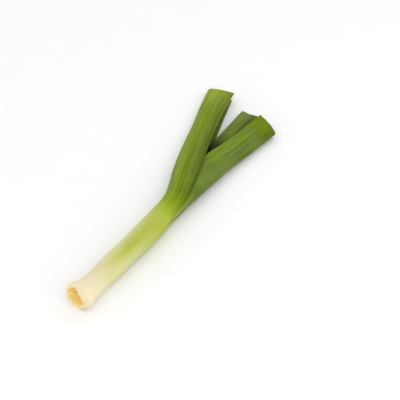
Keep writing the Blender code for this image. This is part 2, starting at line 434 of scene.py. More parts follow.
class Graph:
    """A node tree that is filled node by node, laid out from left to right."""

    def __init__(self, tree):
        self.tree = tree
        self.count = 0

    def add(self, kind, sockets=None, **settings):
        node = self.tree.nodes.new(kind)
        node.location = (230 * (self.count // 4) - 1600, 500 - 270 * (self.count % 4))
        self.count += 1
        for key, value in settings.items():
            setattr(node, key, value)
        for key, value in (sockets or {}).items():
            if isinstance(value, bpy.types.NodeSocket):
                self.tree.links.new(value, node.inputs[key])
            else:
                node.inputs[key].default_value = value
        return node

    def math(self, operation, *values):
        return self.add("ShaderNodeMath", dict(enumerate(values)), operation=operation).outputs[0]

    def times(self, value, factor, plus=None):
        """A product, or a product with something added to it."""
        if plus is None:
            return self.math("MULTIPLY", value, factor)
        return self.math("MULTIPLY_ADD", value, factor, plus)

    def apart(self, first, second):
        """How far two values are from each other."""
        return self.math("ABSOLUTE", self.math("SUBTRACT", first, second))

    def split(self, vector):
        return self.add("ShaderNodeSeparateXYZ", {"Vector": vector}).outputs

    def mix(self, factor, first, second, blend="MIX"):
        first, second = ((*v, 1.0) if isinstance(v, tuple) else v for v in (first, second))
        sockets = {0: factor, 6: first, 7: second}
        return self.add("ShaderNodeMix", sockets, data_type="RGBA", blend_type=blend).outputs[2]

    def tint(self, colour, factor):
        return self.mix(1.0, colour, factor, "MULTIPLY")

    def noise(self, vector, scale, detail=2.0, roughness=0.5):
        values = {"Vector": vector, "Scale": scale, "Detail": detail, "Roughness": roughness}
        return self.add("ShaderNodeTexNoise", values).outputs["Fac"]

    def group(self, name, **sockets):
        return self.add("ShaderNodeGroup", sockets, node_tree=shared_group(name)).outputs

    def fade(self, value, start, end):
        """Goes smoothly from 0 to 1 as a value goes from start to end."""
        sockets = {"Value": value, "From Min": start, "From Max": end}
        return self.add("ShaderNodeMapRange", sockets, interpolation_type="SMOOTHSTEP").outputs[0]

    def ramp(self, factor, *stops):
        """A smooth ramp of (position, grey) or (position, colour) stops."""
        node = self.add("ShaderNodeValToRGB", {"Fac": factor})
        elements = node.color_ramp.elements
        while len(elements) < len(stops):
            elements.new(1.0)
        for element, (position, value) in zip(elements, stops):
            element.position = position
            element.color = (*value, 1.0) if isinstance(value, tuple) else (value, value, value, 1.0)
        return node.outputs["Color"]


class Surface(Graph):
    """A material's node tree: its shader with plain values set, and the two coordinates it reads."""

    def __init__(self, name, roughness, specular):
        self.material = bpy.data.materials.new(name)
        self.material.use_nodes = True
        super().__init__(self.material.node_tree)
        self.shader = self.tree.nodes["Principled BSDF"]
        self.shader.location = (1500, 300)
        self.tree.nodes["Material Output"].location = (1800, 300)
        self.shader.inputs["Roughness"].default_value = roughness
        self.shader.inputs["Specular IOR Level"].default_value = specular
        self.around = self.add("ShaderNodeUVMap", uv_map="UVMap").outputs["UV"]
        self.solid = self.add("ShaderNodeTexCoord").outputs["Object"]

    def feed(self, label, value):
        self.tree.links.new(value, self.shader.inputs[label])

    def finish(self, colour, roughness, height, strength, distance):
        """Feeds the shader its colour, its roughness and a bump, and gives the material."""
        self.feed("Base Color", colour)
        self.feed("Roughness", roughness)
        bump = self.add("ShaderNodeBump", {"Height": height, "Strength": strength, "Distance": distance})
        self.feed("Normal", bump.outputs["Normal"])
        return self.material


def fill_leaf_lines(graph, source):
    """Streaks, furrows, veins and cross veins of a leaf. They close where a sheath's two edges meet."""
    place = graph.split(source["Place"])
    angle = graph.times(place["Y"], 2 * math.pi)
    cosine = graph.math("COSINE", angle)
    sine = graph.math("SINE", angle)

    def lines(around, lengthwise, detail):
        spots = {
            "X": graph.times(cosine, around),
            "Y": graph.times(sine, around),
            "Z": graph.times(place["X"], lengthwise),
        }
        vector = graph.add("ShaderNodeCombineXYZ", spots).outputs[0]
        return graph.noise(vector, 1.0, detail)

    band = lines(1.6, 3.0, 1.0)
    streak = lines(6.5, 3.6, 2.0)
    fine = lines(17.0, 8.0, 2.0)
    uneven = lines(13.0, 5.0, 1.0)
    turns = place["Y"]
    for waves, size, start in RIB_DRIFT:
        shift = graph.math("SINE", graph.times(angle, waves, start))
        turns = graph.times(shift, size, turns)
    turns = graph.times(turns, source["Ribs"])
    wave = graph.math("COSINE", graph.times(turns, 2 * math.pi))
    furrow = graph.math("POWER", graph.times(wave, -0.5, 0.5), 3.5)
    furrow = graph.times(furrow, graph.ramp(uneven, (0.38, 0.08), (0.58, 1.0)))
    wave = graph.math("COSINE", graph.times(turns, 8 * math.pi))
    vein = graph.math("POWER", graph.times(wave, 0.5, 0.5), 2.0)
    lane = graph.math("FLOOR", graph.times(turns, 4.0))
    chance = graph.add("ShaderNodeTexWhiteNoise", {"W": lane}, noise_dimensions="1D").outputs["Value"]
    step = graph.math("FRACT", graph.times(place["X"], 72.0, graph.times(chance, 7.0)))
    rung = graph.fade(graph.apart(step, 0.5), 0.07, 0.03)
    return band, streak, fine, furrow, vein, rung


def fill_wax_bloom(graph, source):
    """Thin wax: soft patches, broken by a fine powdery speckle."""
    patch = graph.noise(source["Place"], 45.0, 3.0, 0.55)
    speckle = graph.noise(source["Place"], 1400.0, 2.0, 0.6)
    soft = graph.ramp(patch, (0.32, 0.0), (0.68, 1.0))
    return graph.times(soft, graph.times(speckle, 0.8, 0.6)), speckle


def fill_leaf_flecks(graph, source):
    """Small pale scars, a few millimetres long, that follow the leaf."""
    stretch = graph.add("ShaderNodeMapping", {"Vector": source["Place"], "Scale": (60.0, 45.0, 1.0)})
    cells = graph.add("ShaderNodeTexVoronoi", {"Vector": stretch.outputs[0], "Scale": 1.0})
    near = graph.ramp(cells.outputs["Distance"], (0.05, 1.0), (0.13, 0.0))
    some = graph.add("ShaderNodeSeparateColor", {"Color": cells.outputs["Color"]}).outputs["Red"]
    return (graph.times(near, graph.math("GREATER_THAN", some, 0.82)),)


GROUPS = {
    "leaf_lines": (
        fill_leaf_lines,
        {"Place": None, "Ribs": 24.0},
        ("Band", "Streak", "Fine", "Furrow", "Vein", "Rung"),
    ),
    "wax_bloom": (fill_wax_bloom, {"Place": None}, ("Bloom", "Speckle")),
    "leaf_flecks": (fill_leaf_flecks, {"Place": None}, ("Fleck",)),
}


def shared_group(name):
    """A shader node group, made the first time that it is asked for."""
    if name in bpy.data.node_groups:
        return bpy.data.node_groups[name]
    fill, inputs, outputs = GROUPS[name]
    tree = bpy.data.node_groups.new(name, "ShaderNodeTree")
    for label, default in inputs.items():
        kind = "NodeSocketVector" if default is None else "NodeSocketFloat"
        socket = tree.interface.new_socket(name=label, in_out="INPUT", socket_type=kind)
        if default is not None:
            socket.default_value = default
    for label in outputs:
        tree.interface.new_socket(name=label, in_out="OUTPUT", socket_type="NodeSocketFloat")
    graph = Graph(tree)
    source = graph.add("NodeGroupInput")
    results = fill(graph, source.outputs)
    graph.add("NodeGroupOutput", dict(zip(outputs, results)))
    return tree


@dataclass
class LeafLook:
    """How one leaf is coloured. Colours go by their names in LeekColours, and x runs along the leek."""

    stops: tuple  # (x, colour) of the skin
    stray: tuple  # (x, how far a streak's colour runs ahead or lags, as a part of the leaf)
    edges: tuple  # (share from the keel, how light the skin is: painted shade and light, partly a deeper green)
    edge_run: tuple  # (x, how much the edges' painted shade, the furrows and the streaks count)
    washes: tuple  # thin layers: (colour, its pattern, its run along x, its run across)
    lined: tuple  # (place across, how dark the furrows are)
    fold: tuple  # (x, colour) of the inner face
    cut: tuple = ("cut_green", "tip_lime")  # the flesh and the pith of the cut edge
    cut_run: tuple = ()  # (x, how far the flesh fades in from the pith)
    rim: tuple = ()  # the flesh and the pith of the cut at the foot
    crease_run: tuple = ()  # (x, how strong the crease's dent and its painted shade are)


def crease_line(leaf):
    """Where a crease runs across its leaf: its place at the leaf's foot, and its change to the tip."""
    (first_x, first_share), *_, (last_x, last_share) = leaf.crease
    change = (last_share - first_share) / 2 / (leaf.place(last_x) - leaf.place(first_x))
    return (first_share + 1) / 2 - change * leaf.place(first_x), change


def skin_material(leaf, look):
    """The outside of a leaf: its colours along it, veins, uneven streaks and a thin wax."""
    skin = Surface(leaf.name + "_skin", 0.42, 0.07)
    ribs = bpy.context.scene.leek_sizes.ribs
    lines = skin.group("leaf_lines", Place=skin.around, Ribs=ribs)
    wax = skin.group("wax_bloom", Place=skin.solid)
    flecks = skin.group("leaf_flecks", Place=skin.around)["Fleck"]
    place = skin.split(skin.around)
    share = skin.math("ABSOLUTE", skin.times(place["Y"], 2.0, -1.0))

    def lengthwise(stops):
        return skin.ramp(place["X"], *leaf.ramp_stops(stops))

    # How strongly the painted shade by the edges, the furrows and the streaks show along the leaf.
    green = lengthwise(look.edge_run)
    drift = skin.times(skin.math("SUBTRACT", lines["Streak"], 0.5), 0.6)
    drift = skin.times(skin.math("SUBTRACT", lines["Fine"], 0.5), 0.3, drift)
    drift = skin.times(skin.math("SUBTRACT", lines["Band"], 0.5), 1.0, drift)
    ahead = skin.times(drift, lengthwise(look.stray), place["X"])
    colour = skin.ramp(ahead, *leaf.ramp_stops(look.stops))

    # Painted shade and light across the leaf by its share from the keel, partly the outer leaf's own deeper
    # green at its margin.
    colour = skin.tint(colour, skin.mix(green, WHITE, skin.ramp(share, *look.edges)))
    uneven = skin.ramp(lines["Streak"], (0.36, 0.88), (0.64, 1.1))
    hair = skin.ramp(lines["Fine"], (0.4, 0.76), (0.6, 1.19))
    both = skin.mix(skin.times(green, 0.7, 0.22), WHITE, skin.tint(uneven, hair))
    colour = skin.tint(colour, both)
    colour = skin.tint(colour, skin.ramp(lines["Band"], (0.3, 0.94), (0.7, 1.06)))
    lighter = skin.times(lines["Vein"], 0.14, 0.96)
    lighter = skin.times(lines["Rung"], 0.09, lighter)
    darker = skin.times(skin.times(green, -0.5, -0.04), skin.ramp(place["Y"], *look.lined))
    colour = skin.tint(colour, skin.times(lines["Furrow"], darker, lighter))

    patterns = {
        "patches": skin.times(wax["Bloom"], 1.5, 0.2),
        "streaks": skin.ramp(lines["Streak"], (0.38, 0.45), (0.64, 1.5)),
        "even": skin.ramp(lines["Streak"], (0.36, 0.8), (0.66, 1.15)),
        "blots": skin.fade(skin.noise(skin.solid, 48.0, 1.0), 0.46, 0.78),
    }
    for name, pattern, run, across in look.washes:
        spread = skin.times(lengthwise(run), skin.ramp(place["Y"], *across))
        colour = skin.mix(skin.times(spread, patterns[pattern]), colour, tone(name))
    colour = skin.mix(skin.times(flecks, 0.22), colour, tone("bloom"))
    height = skin.times(lines["Fine"], 0.5, lines["Vein"])
    height = skin.times(lines["Furrow"], -1.0, height)
    if leaf.crease:
        start, change = crease_line(leaf)
        away = skin.apart(place["Y"], skin.times(place["X"], change, start))
        dent = skin.times(skin.fade(away, 0.008, 0.003), lengthwise(look.crease_run))
        # Painted shade: a dark line laid along the crease's dent.
        colour = skin.mix(skin.times(dent, 0.65), colour, CREASE_PAINTED_SHADE)
        height = skin.math("SUBTRACT", height, dent)

    roughness = skin.times(wax["Bloom"], 0.2, 0.4)
    roughness = skin.times(lines["Fine"], 0.12, roughness)
    height = skin.times(wax["Speckle"], 0.12, height)
    return skin.finish(colour, roughness, height, 0.4, 0.0002)


def fold_material(leaf, look):
    """The inner face of a leaf: smoother and yellower, with its veins showing through."""
    fold = Surface(leaf.name + "_fold", 0.45, 0.1)
    lines = fold.group("leaf_lines", Place=fold.around)
    place = fold.split(fold.around)
    ahead = fold.times(fold.math("SUBTRACT", lines["Streak"], 0.5), 0.08, place["X"])
    colour = fold.ramp(ahead, *leaf.ramp_stops(look.fold))
    colour = fold.tint(colour, fold.ramp(lines["Streak"], (0.32, 0.82), (0.68, 1.18)))
    colour = fold.mix(fold.times(lines["Vein"], 0.08), colour, tone("bloom"))
    roughness = fold.times(fold.noise(fold.solid, 160.0), 0.2, 0.34)
    height = fold.times(lines["Fine"], 0.5, lines["Vein"])
    return fold.finish(colour, roughness, height, 0.4, 0.00025)


def cut_material(name, flesh, pith, run=()):
    """A cut edge or a margin: moist flesh with the ends of its veins. A run fades flesh in from pith."""
    cut = Surface(name, 0.4, 0.2)
    lines = cut.group("leaf_lines", Place=cut.around)
    cells = cut.noise(cut.solid, 2600.0)
    fleshy = cut.ramp(cut.noise(cut.solid, 420.0), (0.35, 1.0), (0.65, 0.75))
    if run:
        fleshy = cut.times(fleshy, cut.ramp(cut.split(cut.around)["X"], *run))
    colour = cut.mix(fleshy, tone(pith), tone(flesh))
    colour = cut.tint(colour, cut.ramp(cells, (0.35, 0.9), (0.65, 1.06)))
    height = cut.math("ADD", cells, lines["Vein"])
    return cut.finish(colour, cut.times(cells, 0.3, 0.3), height, 0.4, 0.0001)


def root_material(name, gold, straw):
    """Cut root tissue: a golden patch of dry fibre that fades to straw on its left, with a cream rim."""
    root = Surface(name, 0.7, 0.12)
    turned = {"Vector": root.solid, "Location": PLATE_MIDDLE, "Rotation": (GRAIN_TURN, 0.0, 0.0)}
    grain = root.add("ShaderNodeMapping", turned, vector_type="TEXTURE").outputs[0]
    spot = root.split(grain)
    patch = root.noise(root.solid, 230.0, 3.0, 0.6)
    squeeze = root.add("ShaderNodeMapping", {"Vector": grain, "Scale": (300.0, 260.0, 1000.0)})
    fibre = root.noise(squeeze.outputs[0], 1.0, 3.0, 0.65)
    ragged = root.times(patch, 0.006, -0.003)
    across = root.math("ADD", spot["Z"], ragged)
    lengthwise = root.math("ADD", root.apart(spot["Y"], 0.003), ragged)
    field = root.times(root.fade(across, 0.0054, 0.0026), root.fade(across, -0.013, -0.002))
    field = root.times(field, root.fade(lengthwise, 0.0125, 0.0082))
    mottled = root.times(fibre, 0.9, root.times(patch, 0.5))
    pale = root.fade(root.times(mottled, 0.3, field), 0.2, 0.55)
    colour = root.mix(pale, tone("rim_cream"), tone(straw))
    golden = root.fade(root.times(mottled, 0.8, field), 1.05, 1.8)
    colour = root.mix(golden, colour, tone(gold))
    # A darker brown band along one edge of the golden patch.
    streak = root.times(root.fade(across, -0.0016, 0.0008), root.fade(across, 0.0044, 0.002))
    streak = root.times(streak, root.fade(lengthwise, 0.0105, 0.006))
    streak = root.times(streak, root.fade(fibre, 0.3, 0.6))
    colour = root.mix(root.times(streak, 0.4), colour, tone("root_brown"))
    pits = root.add("ShaderNodeTexVoronoi", {"Vector": root.solid, "Scale": 800.0}).outputs["Distance"]
    dark = root.times(root.ramp(pits, (0.05, 0.3), (0.25, 0.0)), root.fade(field, 0.1, 0.6))
    colour = root.mix(dark, colour, tone("root_brown"))
    roughness = root.times(fibre, 0.25, 0.58)
    return root.finish(colour, roughness, root.times(pits, 0.7, fibre), 0.6, 0.0004)


def deselect_all():
    if bpy.context.object and bpy.context.object.mode != "OBJECT":
        bpy.ops.object.mode_set(mode="OBJECT")
    bpy.ops.object.select_all(action="DESELECT")


def keep_piece(obj, nodes=()):
    """Ends a piece: it rides on the leek and stands for its solids."""
    deselect_all()
    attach(obj, BODY)
    if nodes:
        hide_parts(*nodes)
    return obj


def placed(x, y, z):
    """A point of the leek after the root cut's slant and the settling, in metres about its middle."""
    slant = max(0.0, 1 - x / ROOT_SLANT_RUN) ** 2
    left_of_middle = y - along(SHAFT_DRIFT, x)
    over_middle = z - along(SHAFT_RADIUS, x)
    x += slant * (ROOT_SLANT_LEFT * left_of_middle + ROOT_SLANT_UP * over_middle)
    return Vector((ROOT_X + x, SHAFT_Y + y, max(0.0, z - SETTLE))) * MM


class Station:
    """A leaf's cross-section at one x, with its profiles read once."""

    def __init__(self, leaf, x):
        self.leaf = leaf
        self.x = x
        self.turn = math.radians(along(leaf.turn, x))
        self.half_width = along(leaf.reach, x) / (1 - math.cos(self.turn))
        self.half_height = along(leaf.height, x) / 2
        self.middle_y = along(leaf.keel, x) - leaf.side * self.half_width
        self.middle_z = along(leaf.base, x) + self.half_height
        self.lean = along(leaf.lean, x)
        self.crease = along(leaf.crease, x) if leaf.crease else 0.0
        opened = ease((x - COLLAR_X) / BLADE_RUN)
        thinned = ease((x - FRONT_THINS_X) / (leaf.collar - FRONT_THINS_X))
        self.keel_wall = between(WALL_KEEL, BLADE_KEEL, opened)
        self.side_wall = between(WALL_SIDE, BLADE_SIDE, opened)
        self.edge_wall = between(WALL_FRONT, BLADE_EDGE, thinned)
        bladed = ease((x - COLLAR_X + RIBS_BEFORE_COLLAR) / RIBS_DEEPEN_RUN)
        self.ribbed = ease((x - leaf.bare) / RIBS_SET_IN_RUN) * between(SHEATH_RIBS, 1.0, bladed)

    def sunk(self, share, sizes):
        """How far in a point of the outer skin lies, for the furrows between ribs and for the crease."""
        furrow = 0.5 - 0.5 * math.cos(2 * math.pi * sizes.ribs * rib_turns((share + 1) / 2))
        strength = 0.5 + noise.noise(Vector((share * 6.0, self.x / 60.0, 3.0 * self.leaf.side)))
        strength *= 1 - ease((abs(share) - RIBS_END_SHARE) / (1 - RIBS_END_SHARE))
        sunk = sizes.rib_depth / MM * furrow * strength * self.ribbed
        if self.leaf.crease:
            away = (share - self.crease) / CREASE_WIDTH
            run = ease((self.x - self.leaf.crease[0][0]) / CREASE_FADE_IN)
            run *= 1 - ease((self.x - CREASE_END) / CREASE_FADE_OUT)
            sunk += sizes.crease_depth / MM * math.exp(-away * away) * run
        return sunk

    def point(self, share, inside, sizes):
        """A point of the skin: share runs from -1 at the lower edge, past the keel, to 1 at the upper."""
        leaf, x = self.leaf, self.x
        middle_y, half_width, half_height = self.middle_y, self.half_width, self.half_height
        if inside:
            middle_y -= leaf.side * (self.keel_wall - self.edge_wall) / 2
            half_width -= (self.keel_wall + self.edge_wall) / 2
            half_height -= self.side_wall + (self.edge_wall - self.side_wall) * ease(2 * abs(share) - 1)
        else:
            sunk = self.sunk(share, sizes)
            half_width -= sunk
            half_height -= sunk
        angle = self.turn * share
        y = middle_y + leaf.side * half_width * math.cos(angle)
        z = self.middle_z + half_height * math.sin(angle)
        y -= self.lean * (z - self.middle_z)
        across = (1 - math.cos(angle)) / (1 - math.cos(self.turn))
        hollow = leaf.tip_dip * math.sin(math.pi * across) ** 2
        waver = sizes.cut_waver / MM * noise.noise(Vector((share * 5.0, leaf.tip, 0.0)))
        waver *= ease((x - leaf.tip) / WAVER_RUN + 1)
        cut = leaf.tip_keel + (leaf.tip_edge - leaf.tip_keel) * across - hollow + waver
        return placed(x + (cut - leaf.tip) * ease((x - leaf.tip) / CUT_RUN + 1), y, z)


def select_in_edit_mode(obj, kind, test=lambda item: True):
    """Selects the vertices or faces that pass a test, and leaves the object in edit mode."""
    bpy.ops.object.mode_set(mode="EDIT")
    bpy.ops.mesh.select_mode(type=kind)
    bpy.ops.mesh.select_all(action="DESELECT")
    bpy.ops.object.mode_set(mode="OBJECT")
    items = obj.data.vertices if kind == "VERT" else obj.data.polygons
    for item in items:
        item.select = test(item)
    bpy.ops.object.mode_set(mode="EDIT")


def face_outward(obj):
    select_in_edit_mode(obj, "FACE")
    bpy.ops.mesh.normals_make_consistent(inside=False)
    bpy.ops.object.mode_set(mode="OBJECT")


def named_piece(name):
    """The object that was just added or joined, under its piece's name."""
    obj = bpy.context.active_object
    obj.name = name
    obj.data.name = name
    return obj


def model_leaf(leaf, materials, sizes):
    """Models one leaf from a flat sheet: rolled to its outer skin, closed into a sheath, given its wall."""
    deselect_all()
    bpy.ops.mesh.primitive_grid_add(x_subdivisions=leaf.rows, y_subdivisions=leaf.columns, size=1.0)
    obj = named_piece(leaf.name + "_skin")
    mesh = obj.data
    run = leaf.tip - leaf.foot
    for name, kind in (("across", "FLOAT"), ("row", "FLOAT"), ("within", "INT")):
        mesh.attributes.new(name, kind, "POINT")
    across, row = mesh.attributes["across"], mesh.attributes["row"]
    stations = [Station(leaf, leaf.foot + run * number / leaf.rows) for number in range(leaf.rows + 1)]

    def skin_point(i, inside):
        station = stations[round((row.data[i].value - leaf.foot) / run * leaf.rows)]
        return station.point(across.data[i].value, inside, sizes)

    for vertex in mesh.vertices:
        across.data[vertex.index].value = 2 * vertex.co.y
        row.data[vertex.index].value = leaf.foot + run * (vertex.co.x + 0.5)
    for vertex in mesh.vertices:
        vertex.co = skin_point(vertex.index, False)
    select_in_edit_mode(obj, "VERT")
    bpy.ops.mesh.remove_doubles(threshold=MERGE_DISTANCE)
    bpy.ops.mesh.extrude_region()
    bpy.ops.object.mode_set(mode="OBJECT")
    across, row, within = (mesh.attributes[name] for name in ("across", "row", "within"))
    for vertex in mesh.vertices:
        if vertex.select:
            vertex.co = skin_point(vertex.index, True)
            within.data[vertex.index].value = 1
    if leaf.solid_sheath:
        close_sheath(obj, leaf)
    finish_leaf(obj, leaf, materials, sizes.edge_round)
    return obj


def finish_leaf(obj, leaf, materials, edge_round):
    """Gives a leaf its materials, rounds its edges and smooths the rest."""
    mesh = obj.data
    for material in materials:
        mesh.materials.append(material)
    row, within = mesh.attributes["row"], mesh.attributes["within"]
    rim_slot = len(materials) - 1
    for face in mesh.polygons:
        inner = sum(within.data[v].value for v in face.vertices)
        at_foot = min(row.data[v].value for v in face.vertices) < leaf.foot + 0.1
        edge_slot = rim_slot if at_foot else 2
        face.material_index = 0 if inner == 0 else 1 if inner == len(face.vertices) else edge_slot
    face_outward(obj)
    bevel = obj.modifiers.new("edge_round", "BEVEL")
    bevel.width = edge_round
    bevel.segments = 2
    bevel.limit_method = "ANGLE"
    bevel.angle_limit = ROUNDED_ANGLE
    bpy.ops.object.modifier_apply(modifier=bevel.name)
    select_in_edit_mode(obj, "FACE")
    bpy.ops.mesh.dissolve_degenerate(threshold=SHORTEST_EDGE)
    bpy.ops.object.mode_set(mode="OBJECT")
    bpy.ops.object.shade_smooth_by_angle(angle=LEAF_SMOOTH_ANGLE)
    for name in ("across", "row", "within"):
        mesh.attributes.remove(mesh.attributes[name])


def close_sheath(obj, leaf):
    """Takes the bore out of a sheath and caps it, so that it is solid up to its collar."""
    rows = [item.value for item in obj.data.attributes["row"].data]
    within = [item.value for item in obj.data.attributes["within"].data]
    limit = leaf.collar + 0.5

    def in_bore(face):
        return any(within[v] for v in face.vertices) and max(rows[v] for v in face.vertices) <= limit

    select_in_edit_mode(obj, "FACE", in_bore)
    bpy.ops.mesh.delete(type="FACE")
    bpy.ops.mesh.select_mode(type="VERT")
    bpy.ops.mesh.select_all(action="SELECT")
    bpy.ops.mesh.delete_loose()
    bpy.ops.mesh.select_all(action="SELECT")
    bpy.ops.mesh.fill_holes(sides=0)
    bpy.ops.object.mode_set(mode="OBJECT")


OUTER_LOOK = LeafLook(
    stops=(
        *((0, "cream"), (30, "ivory"), (50, "pale_lime"), (72, "lime"), (120, "lime")),
        *((131, "knee_green"), (143, "fresh_green"), (160, "leaf_green")),
        *((302, "leaf_green"), (328, "tip_lime")),
    ),
    stray=(
        *((0, 0.12), (80, 0.12), (112, 0.035), (132, 0.022)),
        *((160, 0.022), (200, 0.045), (300, 0.045), (344, 0.1)),
    ),
    # Painted shade toward the upper margin, where the blade curls away and lies against the second leaf,
    # partly its own deeper green.
    edges=((0.0, 0.78), (0.34, 0.8), (0.44, 0.95), (0.52, 1.0), (0.66, 0.8), (0.84, 0.7), (0.95, 0.38)),
    edge_run=(
        *((96, 0.0), (126, 0.05), (140, 0.45), (156, 0.85), (172, 1.0)),
        *((240, 1.0), (300, 0.75), (330, 0.65)),
    ),
    washes=(
        (
            "milk",
            "streaks",
            ((24, 0.2), (46, 1.0), (84, 0.95), (118, 0.6), (126, 0.4), (140, 0.12)),
            ((0.3, 0.0), (0.5, 0.5), (0.67, 0.55), (0.75, 0.14), (0.81, 0.0)),
        ),
        (
            "milk",
            "even",
            ((24, 0.6), (46, 1.0), (66, 0.9), (84, 0.5), (108, 0.0)),
            ((0.0, 0.5), (0.2, 0.0), (0.84, 0.0), (0.9, 0.3), (0.98, 0.5)),
        ),
        (
            "wax",
            "patches",
            ((130, 0.0), (170, 0.5), (220, 0.8), (310, 1.0), (342, 1.0)),
            ((0.0, 0.04), (0.6, 0.04), (0.72, 0.08), (0.8, 0.02), (0.87, 0.16), (0.95, 0.06)),
        ),
        (
            "clear_green",
            "blots",
            ((140, 0.0), (165, 0.6), (300, 0.6), (335, 0.3)),
            ((0.0, 0.6), (0.8, 0.6), (0.95, 0.1)),
        ),
    ),
    lined=((0.0, 0.4), (0.4, 0.5), (0.55, 0.7), (0.7, 0.8), (0.84, 1.0), (1.0, 1.0)),
    fold=((2, "rim_cream"), (20, "ivory"), (60, "pale_lime"), (130, "fresh_green"), (180, "fold_green")),
    cut=("cut_green", "pale_lime"),
    cut_run=((140, 0.0), (180, 1.0), (344, 1.0)),
    rim=("rim_cream", "root_straw"),
)

SECOND_LOOK = LeafLook(
    stops=(
        *((60, "pale_lime"), (118, "lime"), (142, "fresh_green")),
        *((180, "mid_green"), (292, "mid_green"), (312, "tip_green")),
    ),
    stray=((100, 0.06), (200, 0.05), (324, 0.07)),
    # Painted shade on the keel side and painted light toward the upper margin.
    edges=((0.0, 0.73), (0.38, 0.73), (0.5, 0.82), (0.64, 1.04), (1.0, 1.08)),
    edge_run=((115, 0.3), (150, 1.0), (324, 1.0)),
    washes=(
        (
            "milk",
            "even",
            ((105, 0.6), (128, 0.5), (150, 0.15), (170, 0.0)),
            ((0.0, 1.0), (0.3, 0.8), (0.6, 0.5)),
        ),
        (
            "wax",
            "patches",
            ((150, 0.4), (195, 1.0), (290, 1.0), (308, 0.15)),
            ((0.0, 0.18), (0.6, 0.18), (0.72, 0.24), (0.8, 0.14), (1.0, 0.14)),
        ),
        (
            "clear_green",
            "blots",
            ((170, 0.0), (200, 0.8), (324, 0.8)),
            ((0.0, 0.3), (0.6, 0.35), (0.78, 0.8), (1.0, 0.8)),
        ),
    ),
    lined=((0.0, 1.0), (0.8, 1.0), (0.84, 0.5), (1.0, 0.6)),
    fold=((60, "pale_lime"), (150, "fresh_green"), (200, "fold_green")),
    crease_run=((222, 0.0), (242, 1.0), (292, 1.0), (318, 0.0)),
)

INNER_LOOK = LeafLook(
    stops=(
        # Painted shade: the inner leaf darkens to near black deep in the fold, from x 215 to 250.
        *((120, "lime"), (170, "fresh_green"), (215, "painted_shade_green")),
        *((250, "painted_shade_green"), (280, "blue_green"), (324, "blue_green")),
    ),
    stray=((100, 0.04), (324, 0.04)),
    # Painted shadow along the upper edge, where the second leaf covers the inner leaf.
    edges=((0.0, 1.02), (0.6, 1.04), (0.7, 0.98), (0.79, 0.66), (0.9, 0.6)),
    edge_run=((180, 0.3), (230, 0.8), (300, 1.0)),
    washes=(
        (
            "wax",
            "patches",
            ((240, 0.0), (270, 0.5), (300, 0.8), (312, 1.0), (324, 1.7)),
            # The wax thins along the upper edge to deepen the painted shadow there.
            ((0.0, 0.34), (0.7, 0.34), (0.79, 0.08), (1.0, 0.08)),
        ),
    ),
    lined=((0.0, 1.0), (1.0, 1.0)),
    # Painted shade on the inner face as well, deep in the fold.
    fold=((150, "lime"), (200, "painted_shade_green"), (324, "blue_green")),
)


def make_leaf(leaf, look):
    """Models one leaf with its skin, its fold and its cut edge, and a rim at its foot if it has one."""
    materials = [
        skin_material(leaf, look),
        fold_material(leaf, look),
        cut_material(leaf.name + "_cut", *look.cut, leaf.ramp_stops(look.cut_run)),
    ]
    if look.rim:
        materials.append(cut_material(leaf.name + "_rim", *look.rim))
    return model_leaf(leaf, materials, bpy.context.scene.leek_sizes)


class LEEK_OT_outer_leaf(bpy.types.Operator):
    """Models the outer leaf, whose closed sheath is the shaft"""

    bl_idname = "leek.outer_leaf"
    bl_label = "Outer leaf"

    def execute(self, context):
        keep_piece(make_leaf(OUTER_LEAF, OUTER_LOOK), ("outer_leaf",))
        return {"FINISHED"}


class LEEK_OT_second_leaf(bpy.types.Operator):
    """Models the second leaf, creased along its blade"""

    bl_idname = "leek.second_leaf"
    bl_label = "Second leaf"

    def execute(self, context):
        keep_piece(make_leaf(SECOND_LEAF, SECOND_LOOK), ("second_leaf",))
        return {"FINISHED"}


class LEEK_OT_inner_leaf(bpy.types.Operator):
    """Models the inner leaf, bluer and waxier than the others"""

    bl_idname = "leek.inner_leaf"
    bl_label = "Inner leaf"

    def execute(self, context):
        keep_piece(make_leaf(INNER_LEAF, INNER_LOOK), ("inner_leaf",))
        return {"FINISHED"}


def plate_relief(across, up, share, sizes):
    """How far the cut face stands out: a low dome, lumps of cut tissue and fine fibre."""
    lumps = noise.noise(Vector((across, up, 0.0)) * 0.32)
    fibre = noise.noise(Vector((across * 1.6, up * 0.9, 4.0)))
    fine = noise.noise(Vector((across * 3.4, up * 2.8, 9.0)))
    calm = 1 - ease((share - 0.9) / 0.1)
    return sizes.plate_dome / MM * (1 - share * share) + calm * (0.35 * lumps + 0.22 * fibre + 0.1 * fine)


def on_plate(x, across, up):
    """A point of the root plate, from its place round the shaft's middle."""
    return placed(x, along(SHAFT_DRIFT, x) + across, along(SHAFT_RADIUS, x) + up)


def round_middle(radius, turn):
    return radius * math.cos(turn), radius * math.sin(turn)


class LEEK_OT_root_plate(bpy.types.Operator):
    """Models the cut root plate in the foot of the outer leaf"""

    bl_idname = "leek.root_plate"
    bl_label = "Root plate"

    def execute(self, context):
        deselect_all()
        bpy.ops.mesh.primitive_uv_sphere_add(segments=128, ring_count=96, radius=1.0)
        obj = named_piece("root_plate_face")
        for vertex in obj.data.vertices:
            polar = math.acos(max(-1.0, min(1.0, vertex.co.z))) / math.pi
            turn = math.atan2(vertex.co.y, vertex.co.x)
            if polar <= FACE_PART:
                share = polar / FACE_PART
                across, up = round_middle(FACE_RADIUS * share, turn)
                x = PLATE_FACE_X - plate_relief(across, up, share, context.scene.leek_sizes)
            else:
                share = (polar - FACE_PART) / (1 - FACE_PART)
                back = min(1.0, share * 2)
                radius = between(FACE_RADIUS, PLATE_BACK_RADIUS, back) * (1 - max(0.0, share * 2 - 1))
                across, up = round_middle(radius, turn)
                x = between(PLATE_FACE_X, PLATE_BACK_X, back)
            vertex.co = on_plate(x, across, up)
        face_outward(obj)
        bpy.ops.object.shade_smooth_by_angle(angle=PLATE_SMOOTH_ANGLE)
        obj.data.materials.append(root_material("cut_root_face", "root_gold", "root_straw"))
        keep_piece(obj, ("root_plate",))
        return {"FINISHED"}


